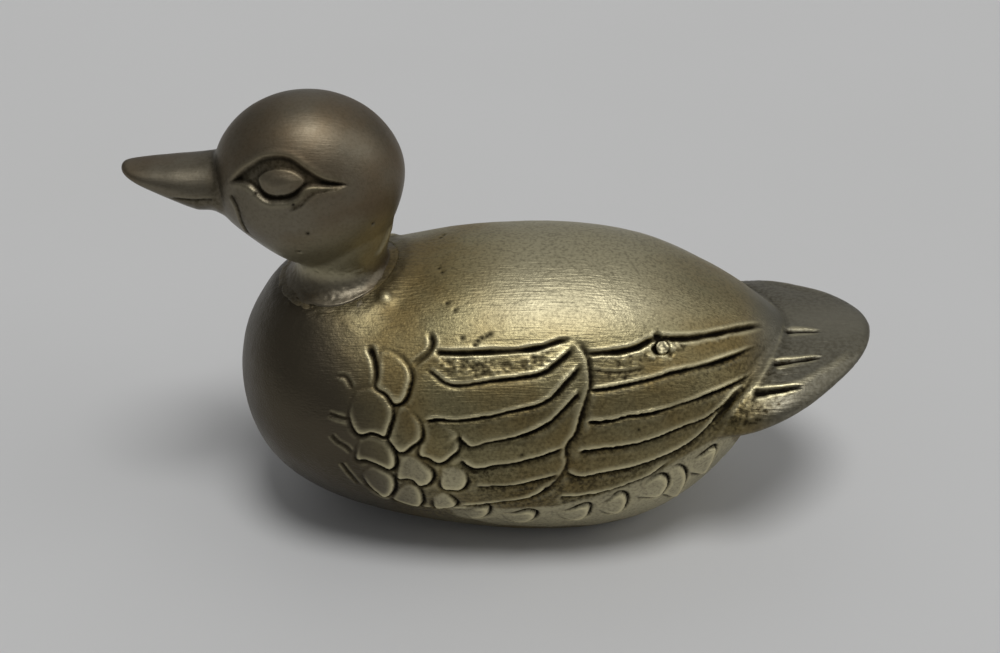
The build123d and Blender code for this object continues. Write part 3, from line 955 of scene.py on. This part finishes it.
def body_skin():
    """Carved skin of the body, wings and tail."""
    skin = Skin(*one_skin((sectioned(body_rows()), sectioned(tail_rows())), BODY_GRID))
    skin.points = skin.relax(skin.points, 4, 0.5)
    skin.points[:, 2] = np.maximum(skin.points[:, 2], FLAT_Z)
    skin.settle()
    carve_wings(skin)
    carve_tail(skin)
    carve_pin_hole(skin)
    for pixel in BODY_PITS:
        pit(skin, pixel)
    coarsen(skin, COARSE_BAND, depth=0.1, seed=5)
    coarsen(skin, COARSE_STRIP, depth=0.07, seed=13)
    coarsen(skin, COARSE_RUMP, depth=0.06, seed=21)
    rough = raise_collar(skin)
    off = (skin.pixel - SWELLING_PIXEL) / SWELLING_PIXELS
    swelling = SWELLING_HEIGHT * np.exp(-(off**2).sum(axis=1))
    skin.soft += swelling * smoothstep(skin.faces_camera, -0.1, 0.2)
    tone_body(skin, rough)
    return skin


def finish_skin(skin, name, material, grid, cutters=()):
    """Makes the carved piece and stores what its material reads."""
    height = skin.relax(skin.lift + skin.cut, 2, 0.5) + skin.soft
    height[skin.points[:, 2] <= FLAT_Z + 0.01] = 0
    points = skin.points + skin.normal * (height + skin.form)[:, None]
    relief = height - skin.relax(height, int(LEVEL_REACH / grid) ** 2)
    mesh = new_mesh(name, points * MM, skin.faces)
    # recesses are painted dark with patina and painted shade, raised relief bright with wear and a
    # painted highlight
    for attribute, values in (
        ("recess", np.clip(np.maximum(-relief / RECESS_DEPTH - 0.1, skin.dirt_and_shade), 0, 1)),
        ("wear_and_highlight", np.clip(relief / WEAR_AND_HIGHLIGHT_HEIGHT - 0.1, 0, 1)),
        *skin.tones.items(),
    ):
        layer = mesh.attributes.new(attribute, "FLOAT", "POINT")
        layer.data.foreach_set("value", values.astype(np.float32))
    for cutter in cutters:
        mesh = cut_away(mesh, *cutter)
    mesh.name = name
    mesh.shade_smooth()
    mesh.materials.clear()
    mesh.materials.append(material)
    mesh.polygons.foreach_set("material_index", np.zeros(len(mesh.polygons), np.int32))
    return new_object(name, mesh)


def body_top(points):
    """Height of the body's upper surface over the level places of the points."""
    rows = body_rows()
    wide, rise, height = (np.interp(points[:, 0], rows[:, 0], rows[:, k]) for k in (1, 2, 4))
    share = np.clip(points[:, 1] / np.maximum(wide, 0.001), -1, 1)
    return height + rise * np.sqrt(1 - share**2)


def trimmed(points, line, weight):
    """Points pressed back softly, by the weight at each, behind the plane through the camera
    and a line in the photograph whose right-hand side is kept, alike on both sides."""
    first, second = (ray_through(pixel) for pixel in line)
    out = np.cross(second, first)
    out /= np.linalg.norm(out)
    side = to_near(points)
    beyond = (points * side - CAMERA_PLACE) @ out
    pressed = -TRIM_SOFTNESS * np.logaddexp(0, -beyond / TRIM_SOFTNESS)
    return (points * side + (weight * (pressed - beyond))[:, None] * out) * side


def press_skull(skin):
    """Presses the skull back to the lines of the chin and the nape, and leaves the bill and
    the foot of the neck as they are."""
    x, z = skin.points[:, 0], skin.points[:, 2]
    face_x = SKULL_MIDDLE[0] - SKULL_HALF[0]
    skull = smoothstep(x - face_x, *SKULL_FROM_FACE) * smoothstep(z - SEAM_Z, *SKULL_FROM_SEAM)
    for line in (CHIN_LINE, NAPE_LINE):
        skin.points = trimmed(skin.points, line, skull)


def flare_neck(skin):
    """Flares the foot of the neck over the braze, and gives each point's height above it."""
    above = skin.points[:, 2] - body_top(skin.points) - BRAZE_HEIGHT + NECK_OVERLAP
    up = np.maximum(above, 0)
    flare = 0.6 * np.exp(-up / FLARE_FOOT) + 0.4 * np.exp(-up / FLARE_HEIGHT)
    skin.form = NECK_FLARE * smoothstep(above, -0.6, -0.1) * flare
    rough = (1 - smoothstep(above, *NECK_SMOOTH_FROM)) * (above > 0)
    skin.soft += rough * lumpy(skin.near, NECK_LUMPS)
    return above


def carve_eyes(skin):
    """Sinks the almond of each eye and leaves the eyeball standing in it."""
    chosen, depth_in = outlined(skin, EYE_SOCKET, EYE_REACH)
    bowl = smoothstep(depth_in + skin.ragged[chosen] * 0.4, -0.15, 0.6)
    skin.cut_to(chosen, -EYE_DEPTH * bowl)
    skin.raise_to(chosen, EYE_RIM * hump(depth_in + 0.5, 0.5))
    # painted shade darkens the socket round the eyeball, and is taken off the eyeball below
    skin.shade_to(chosen, 0.8 * smoothstep(depth_in, -0.2, 0.5))
    chosen, depth_in = outlined(skin, EYEBALL, EYE_REACH)
    skin.shade[chosen] *= 1 - smoothstep(depth_in, -0.1, 0.3)
    skin.lift[chosen] += EYEBALL_STEP * smoothstep(depth_in, -0.2, 0.3)
    skin.lift[chosen] += EYEBALL_DOME * smoothstep(depth_in, 0.2, 1.9)


def head_skin():
    """Carved skin of the head, bill and neck."""
    spigot = upright_block(neck_oval(SPIGOT_RADIUS, SPIGOT_RADIUS), head_low[2], SEAM_Z + WALL)
    forms = (skull_form(), neck_form(), sectioned(bill_rows()), spigot)
    skin = Skin(*one_skin(forms, HEAD_GRID))
    tip = smoothstep(BILL_TIP_X - skin.points[:, 0], *BILL_TIP_KEPT)
    skin.points = skin.relax(skin.points, HEAD_ROUNDS, 0.5 * (1 - 0.85 * tip)[:, None])
    press_skull(skin)
    skin.settle()
    skin.soft *= 0.6
    above = flare_neck(skin)
    ridge(skin, NAPE_RIDGE, height=0.45, width=0.7)
    carve_eyes(skin)
    edge(skin, MOUTH_LINE, lip=0.1, depth=0.4, ends=(0.3, 0.02))
    groove(skin, BILL_ROOT, depth=0.12, width=1.1, lip=0.0)
    edge(skin, CHEEK_CREASE[::-1], lip=0.2, depth=0.3)
    edge(skin, LOWER_LID[::-1], lip=0.15, depth=0.15)
    for pixel in HEAD_PITS:
        pit(skin, pixel, radius=0.25, depth=0.3)
    x, y = skin.pixel.T
    # painted light makes the low part of the head, the chin and the nape paler
    neck = smoothstep(y + HEAD_SLANT * (x - HEAD_PAINTED_LIGHT_MIDDLE), *HEAD_PAINTED_LIGHT_DOWN)
    skin.tones["pale_and_painted_light"] = 0.8 * neck * smoothstep(above, 1, 5)
    # patina and painted shade in the eyes, mouth, creases and pits darken the head
    skin.tones["stain_and_shade"] = np.clip(skin.shade, 0, 1)
    return skin


def node(tree, kind, inputs=(), **settings):
    """New shader node with its settings, and its inputs set or linked by name or number."""
    made = tree.nodes.new(kind)
    for name, value in settings.items():
        setattr(made, name, value)
    for socket, value in dict(inputs).items():
        if isinstance(value, bpy.types.NodeSocket):
            tree.links.new(value, made.inputs[socket])
        else:
            made.inputs[socket].default_value = value
    return made


def linear(red, green, blue):
    """Shader colour from 8-bit screen values."""
    share = np.array((red, green, blue)) / 255
    light = np.where(share <= 0.04045, share / 12.92, ((share + 0.055) / 1.055) ** 2.4)
    return (*light.tolist(), 1.0)


def blended(tree, factor, first, second):
    """Colour between two colours."""
    made = node(tree, "ShaderNodeMix", {0: factor, 6: first, 7: second}, data_type="RGBA")
    return made.outputs[2]


def combined(tree, operation, first, second):
    """Value worked out from two values."""
    return node(tree, "ShaderNodeMath", {0: first, 1: second}, operation=operation).outputs[0]


def spread(tree, value, low, high, new_low=0.0, new_high=1.0):
    """Value moved from one range to another."""
    made = node(
        tree,
        "ShaderNodeMapRange",
        {"Value": value, "From Min": low, "From Max": high, "To Min": new_low, "To Max": new_high},
    )
    return made.outputs["Result"]


def attribute(tree, name):
    """Value that is stored on the piece's points."""
    return node(tree, "ShaderNodeAttribute", attribute_name=name).outputs["Fac"]


def noise(tree, place, scale, detail=6.0):
    """Noise from 0 to 1 over the piece, with its size in lumps per metre."""
    made = node(tree, "ShaderNodeTexNoise", {"Vector": place, "Scale": scale, "Detail": detail})
    return made.outputs["Fac"]


def add_bump(tree, shader, height, strength, depth):
    """Finest relief, from a height that stands for the depth in metres."""
    bump = node(tree, "ShaderNodeBump", {"Height": height, "Strength": strength, "Distance": depth})
    tree.links.new(bump.outputs["Normal"], shader.inputs["Normal"])


# Colours of the brass and what lies on it, with painted light among them: the pale colour also
# paints highlights and reflections, the dark one partly a reflection of the dim room, the olive
# one flecks and also patina with painted shade, the bright one worn edges with their painted
# highlights, and the darkest one patina with painted shade in the recesses
PALE = linear(176, 168, 138)
GOLD = linear(152, 142, 105)
WARM = linear(143, 125, 82)
DARK = linear(84, 77, 64)
GREY = linear(132, 128, 113)
HEAD_TONE = linear(117, 110, 95)
HEAD_WARM = linear(110, 97, 78)
BRIGHT = linear(222, 212, 172)
PATINA_AND_SHADE = linear(30, 26, 19)
OLIVE = linear(58, 51, 35)

# Patterns in the brass, in lumps per metre, and the depth of the finest, in metres
BLOTCHES = 90.0
FLECKS = 1900.0
SPECKLES = 1500.0
FILE_MARKS = 3000.0
FILE_STRETCH = (0.07, 1.0, 1.0)
FINE_PITS = 2600.0
MARK_DEPTH = 0.0001


def start_material(name, metallic=1.0):
    """Empty material with its node tree, shader and place on the piece."""
    material = bpy.data.materials.new(name)
    material.use_nodes = True
    tree = material.node_tree
    shader = tree.nodes["Principled BSDF"]
    shader.inputs["Metallic"].default_value = metallic
    place = node(tree, "ShaderNodeTexCoord").outputs["Object"]
    return material, tree, shader, place


def carved_brass(name, plain, warm, worn_and_highlit, roughness, filed=0.4, flecked=0.45):
    """Aged brass, blotchy and finely filed, with painted light: paler where highlights and
    reflections are painted, dark with patina and painted shade in the recesses and low parts, and
    bright on edges that are worn and carry a painted highlight.
    """
    material, tree, shader, place = start_material(name)
    blotch = spread(tree, noise(tree, place, BLOTCHES), 0.38, 0.66)
    fleck = spread(tree, noise(tree, place, FLECKS), 0.45, 0.7)
    speckle = spread(tree, noise(tree, place, SPECKLES), 0.4, 0.62)
    speckled = spread(tree, speckle, 0, 1, 0.45, 1.0)
    stain_and_shade = combined(tree, "MULTIPLY", attribute(tree, "stain_and_shade"), speckled)
    recess = attribute(tree, "recess")
    colour = blended(tree, blotch, plain, warm)
    for factor, paint in (
        (attribute(tree, "pale_and_painted_light"), PALE),
        (spread(tree, fleck, 0, 1, 0, flecked), OLIVE),
        (attribute(tree, "grey"), GREY),
        (attribute(tree, "dark"), DARK),
        (stain_and_shade, OLIVE),
        (spread(tree, attribute(tree, "wear_and_highlight"), 0, 1, 0, worn_and_highlit), BRIGHT),
        (recess, PATINA_AND_SHADE),
    ):
        colour = blended(tree, factor, colour, paint)
    tree.links.new(colour, shader.inputs["Base Color"])
    rough = spread(tree, recess, 0, 1, roughness, 0.75)
    rough = combined(tree, "ADD", rough, spread(tree, blotch, 0, 1, 0, 0.10))
    tree.links.new(rough, shader.inputs["Roughness"])
    along = node(tree, "ShaderNodeMapping", {"Vector": place, "Scale": FILE_STRETCH}).outputs[0]
    marks = noise(tree, along, FILE_MARKS, 3.0)
    pits = spread(tree, noise(tree, place, FINE_PITS, 4.0), 0, 1, 0, 0.5)
    add_bump(tree, shader, combined(tree, "ADD", marks, pits), filed, MARK_DEPTH)
    return material


def plain_material(name, first, second, scale, metallic, roughness, depth):
    """Finely mottled material with a bumpy surface."""
    material, tree, shader, place = start_material(name, metallic)
    mottle = noise(tree, place, scale)
    tree.links.new(blended(tree, mottle, first, second), shader.inputs["Base Color"])
    shader.inputs["Roughness"].default_value = roughness
    add_bump(tree, shader, mottle, 0.5, depth)
    return material


# Lamps, with the way to each, its strength and its width in degrees, the dim room, and half
# the side of the floor in metres
LAMPS = (
    ("overhead_lamp", (0.10, -0.24, 1.0), 1.45, 24),
    ("side_lamp", (0.85, -0.1, 0.55), 0.5, 50),
    ("back_lamp", (0.1, 0.9, 0.75), 0.22, 60),
)
ROOM_COLOUR = (0.98, 0.99, 1.0, 1.0)
ROOM_STRENGTH = 0.2
FLOOR_HALF = 4.0


def make_camera():
    """Camera at the photograph's place."""
    data = bpy.data.cameras.new("camera")
    data.sensor_fit = "HORIZONTAL"
    data.sensor_width = SENSOR_WIDTH
    data.lens = SENSOR_WIDTH * FOCAL_PIXELS / PHOTO_WIDTH
    data.clip_start = NEAR_CLIP * MM
    camera = new_object("camera", data)
    camera.location = CAMERA_PLACE * MM
    camera.rotation_euler = (math.pi / 2 - CAMERA_ELEVATION, 0, 0)
    bpy.context.scene.camera = camera


def make_studio():
    """Pale floor, dim room and soft lamps."""
    world = bpy.data.worlds.new("room")
    world.use_nodes = True
    background = world.node_tree.nodes["Background"]
    background.inputs["Color"].default_value = ROOM_COLOUR
    background.inputs["Strength"].default_value = ROOM_STRENGTH
    bpy.context.scene.world = world
    for name, direction, strength, angle in LAMPS:
        data = bpy.data.lights.new(name, "SUN")
        data.energy = strength
        data.angle = math.radians(angle)
        lamp = new_object(name, data)
        lamp.rotation_euler = Vector(direction).to_track_quat("Z", "Y").to_euler()
    corners = [(x * FLOOR_HALF, y * FLOOR_HALF, 0) for x, y in ((-1, -1), (1, -1), (1, 1), (-1, 1))]
    mesh = new_mesh("floor", corners, ((0, 1, 2, 3),))
    paint = (linear(203, 203, 202), linear(207, 207, 207))
    mesh.materials.append(
        plain_material("floor_paint", *paint, scale=12.0, metallic=0.0, roughness=0.6, depth=0.0001)
    )
    new_object("floor", mesh)


def place_piece(piece, node):
    """Puts the piece under the root and hides the CAD node that it stands for."""
    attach(piece, "root")
    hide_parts(node)


def pin_forms(grow):
    """Closed forms of the core plugs, longer and wider by grow."""
    points, faces = shape_of("core_plugs")
    forms = []
    for side in (-1, 1):
        kept = np.nonzero(points[:, 1] * side > 0)[0]
        place = {index: i for i, index in enumerate(kept)}
        middle = points[kept].mean(axis=0)
        away = points[kept] - middle
        away *= 1 + grow / np.linalg.norm(away, axis=1).min()
        used = [tuple(place[i] for i in face) for face in faces if face[0] in place]
        forms.append((middle + away, used))
    return forms


def body_cutters():
    """What is cut out of the body: the hollow, the neck's seat, the plate's seat, the pins."""
    floor = FLAT_Z + WALL
    points, faces = sectioned(body_rows(-WALL), 80, 72)
    points[:, 2] = np.maximum(points[:, 2], floor)
    boss_low = SEAM_Z - SPIGOT_LENGTH - FOOT_CLEARANCE
    boss = upright_block(neck_oval(SOCKET_OUTER, SOCKET_OUTER), boss_low, CROWN_Z)
    hollow_mesh = cut_away(new_mesh("hollow", points * MM, faces), *boss)
    hollow = (points_of(hollow_mesh) / MM, faces_of(hollow_mesh))
    seat = upright_block(neck_oval(*(NECK_FOOT + FOOT_CLEARANCE)), SEAM_Z, CROWN_Z)
    radius = SPIGOT_RADIUS + FOOT_CLEARANCE
    socket = upright_block(neck_oval(radius, radius), boss_low - WALL, CROWN_Z)
    across = solder_high - solder_low + PIN_CLEARANCE
    rebate = upright_block(slot_outline(across[0], across[1]), 0, plate_high[2])
    inner = plate_high - plate_low - 2 * PLATE_LEDGE
    mouth = upright_block(slot_outline(inner[0], inner[1]), 0, floor + WALL)
    return hollow, seat, socket, rebate, mouth, *pin_forms(PIN_CLEARANCE)


def make_rough(node, name, material, grid, depth, seed):
    """Rough-cast copy of a small CAD node, which it stands for."""
    skin = Skin(*one_skin((shape_of(node),), grid))
    skin.points = skin.relax(skin.points, 4, 0.5)
    skin.settle()
    skin.lift = depth * lumpy(skin.near, (1, 0.9, seed), (0.6, 0.4, seed + 1))
    # low spots are painted dark with patina and painted shade, lumps bright with wear and a painted
    # highlight
    skin.cut = -2 * depth * smoothstep(grain(skin.near, 1.2, seed + 2), 0.45, 0.75)
    place_piece(finish_skin(skin, name, material, grid), node)


# Felt: the height of each layer and its reach, as shares, and how uneven its edge is
FELT_SHARES = ((0.0, 0.996), (0.12, 1.0), (0.88, 1.0), (1.0, 0.996))
FELT_FUZZ_SHARE = 0.003
FELT_AROUND = 240
FELT_SEED = 7


def make_felt():
    """Felt pad under the duck, with slightly rounded and fuzzy edges."""
    half = (felt_high - felt_low) / 2
    middle = (felt_high + felt_low) / 2
    angle = turn(FELT_AROUND)
    ragged = np.random.default_rng(FELT_SEED).uniform(-1, 0, FELT_AROUND)
    fuzz = 1 + FELT_FUZZ_SHARE * ragged
    height, share = np.array(FELT_SHARES).T[:, :, None]
    x = middle[0] + half[0] * share * fuzz * np.cos(angle)
    y = middle[1] + half[1] * share * fuzz * np.sin(angle)
    points, faces = form_of(x, y, felt_low[2] + 2 * half[2] * height)
    mesh = new_mesh("felt_sheet", points * MM, faces)
    dye = (linear(40, 62, 44), linear(60, 86, 62))
    mesh.materials.append(
        plain_material("green_felt", *dye, scale=4000.0, metallic=0.0, roughness=0.95, depth=0.0002)
    )
    piece = new_object("felt_sheet", mesh)
    place_piece(piece, "felt_pad")


def repaint(node, material):
    """Gives a CAD node that stays in view its own material."""
    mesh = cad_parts[node].data
    mesh.materials.clear()
    mesh.materials.append(material)


bpy.context.scene.view_settings.view_transform = "Standard"
make_camera()
make_studio()

brass = carved_brass("aged_brass", GOLD, WARM, worn_and_highlit=0.8, roughness=0.4, filed=0.8)
head_brass = carved_brass(
    "head_brass", HEAD_TONE, HEAD_WARM, worn_and_highlit=0.15, roughness=0.42, filed=0.3, flecked=0.2
)
body = finish_skin(body_skin(), "duck_body", brass, BODY_GRID, body_cutters())
head = finish_skin(head_skin(), "duck_head", head_brass, HEAD_GRID)
place_piece(body, "body_casting")
place_piece(head, "head_casting")

filler = carved_brass("braze_filler", HEAD_TONE, WARM, worn_and_highlit=0.2, roughness=0.5)
make_rough("neck_braze", "braze_ring", filler, BRAZE_GRID, depth=0.07, seed=11)
plug_brass = carved_brass("plug_brass", PALE, GOLD, worn_and_highlit=0.5, roughness=0.42)
make_rough("core_plugs", "plug_pins", plug_brass, PIN_GRID, depth=0.14, seed=17)
make_felt()

rolled = (linear(150, 128, 78), linear(176, 152, 92))
sheet_brass = plain_material(
    "sheet_brass", *rolled, scale=60.0, metallic=1.0, roughness=0.4, depth=0.00002
)
tinned = (linear(150, 150, 146), linear(176, 176, 172))
dull_solder = plain_material(
    "dull_solder", *tinned, scale=300.0, metallic=1.0, roughness=0.5, depth=0.0001
)
repaint("base_plate", sheet_brass)
repaint("base_solder", dull_solder)
